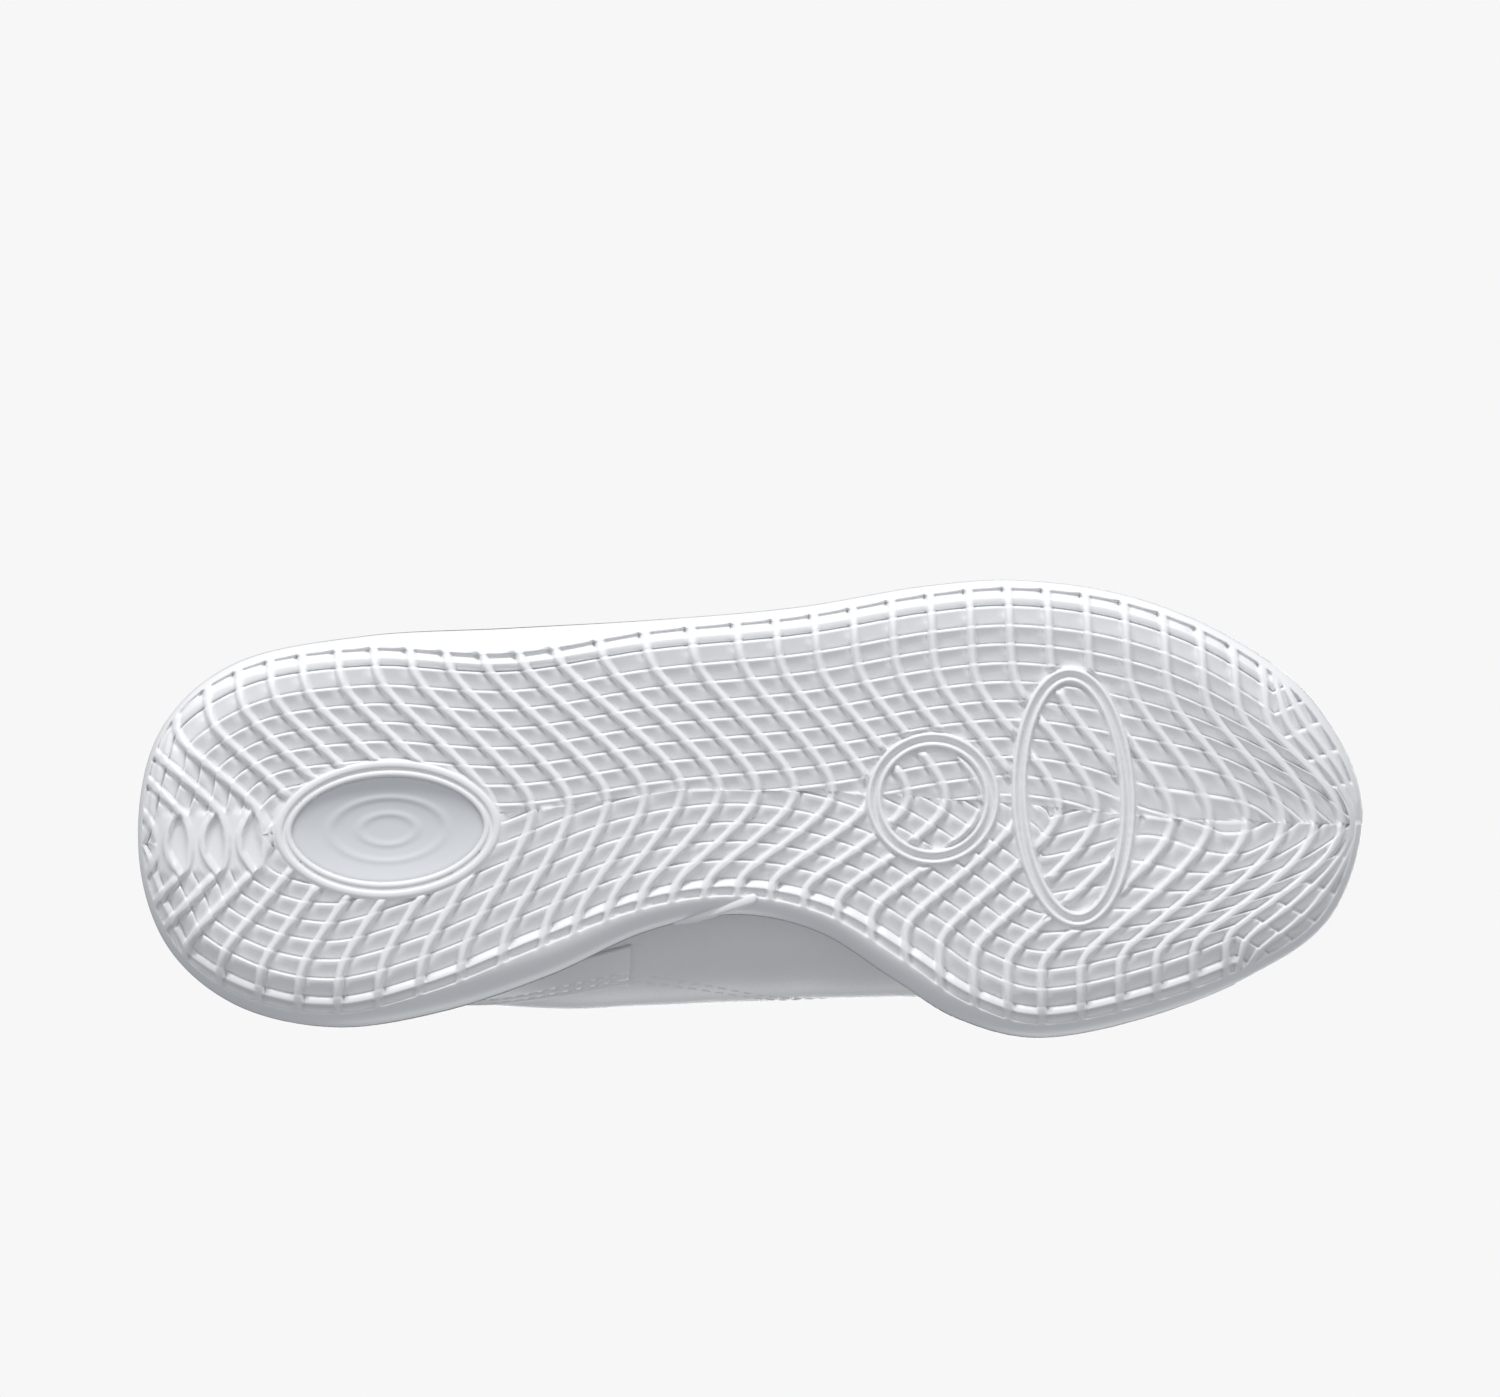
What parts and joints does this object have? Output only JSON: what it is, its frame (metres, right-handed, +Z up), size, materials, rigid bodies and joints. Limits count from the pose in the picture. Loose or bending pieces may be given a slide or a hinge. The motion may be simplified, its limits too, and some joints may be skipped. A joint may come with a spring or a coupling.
{
  "type": "cheer shoe",
  "caption": "Right low-cut lace-up cheer shoe: ribbed cup sole with a waisted arch and an oval heel window, panelled upper, padded collar and a hinged tongue.",
  "frame": {"origin": "centre of the overall box at ground level, under the shoe", "axes": "+X from heel to toe, +Y towards the inner (arch) side of this right shoe, +Z up; the tread stands on Z = 0"},
  "size_m": [0.272, 0.1015, 0.111],
  "materials": {
    "sole_rubber": "satin moulded rubber",
    "window_frame": "satin moulded rubber",
    "window_lens": "polished, slightly translucent",
    "midsole_foam": "closed-cell foam",
    "board": "non-woven board",
    "sock_cloth": "knit over foam",
    "upper_leather": "smooth coated leather",
    "overlay_leather": "smooth coated leather",
    "binding_leather": "soft rolled leather",
    "stiffener": "plain sheet",
    "lining_cloth": "fine mesh knit",
    "eyelet_metal": "white enamel",
    "padding_foam": "open-cell foam",
    "badge_plastic": "soft moulded, plain",
    "lace_cloth": "flat woven",
    "aglet_plastic": "clear film tip"
  },
  "bodies": {
    "shoe": {"outsole": "sole_rubber", "heel_window_bezel": "window_frame", "heel_window_lens": "window_lens", "midsole": "midsole_foam", "strobel_board": "board", "sockliner": "sock_cloth", "vamp": "upper_leather", "toe_cap": "overlay_leather", "toe_puff": "stiffener", "vamp_lining": "lining_cloth", "quarter_lateral": "upper_leather", "quarter_medial": "upper_leather", "quarter_lining": "lining_cloth", "eyestay_lateral": "overlay_leather", "eyestay_medial": "overlay_leather", "eyelets_lateral": "eyelet_metal", "eyelets_medial": "eyelet_metal", "heel_counter": "overlay_leather", "heel_stiffener": "stiffener", "heel_strip": "overlay_leather", "heel_tab": "overlay_leather", "collar_foam": "padding_foam", "collar_lining": "lining_cloth", "collar_binding": "binding_leather", "lace": "lace_cloth", "aglets": "aglet_plastic"},
    "tongue": {"tongue_shell": "upper_leather", "tongue_foam": "padding_foam", "tongue_lining": "lining_cloth", "tongue_binding": "binding_leather", "tongue_badge": "badge_plastic"}
  },
  "joints": [
    {"name": "tongue_hinge", "type": "hinge", "parent": "shoe", "child": "tongue", "pos_m": [0.0571, 0, 0.0463], "axis": [0, 1, 0], "range_deg": [-12, 0]}
  ]
}
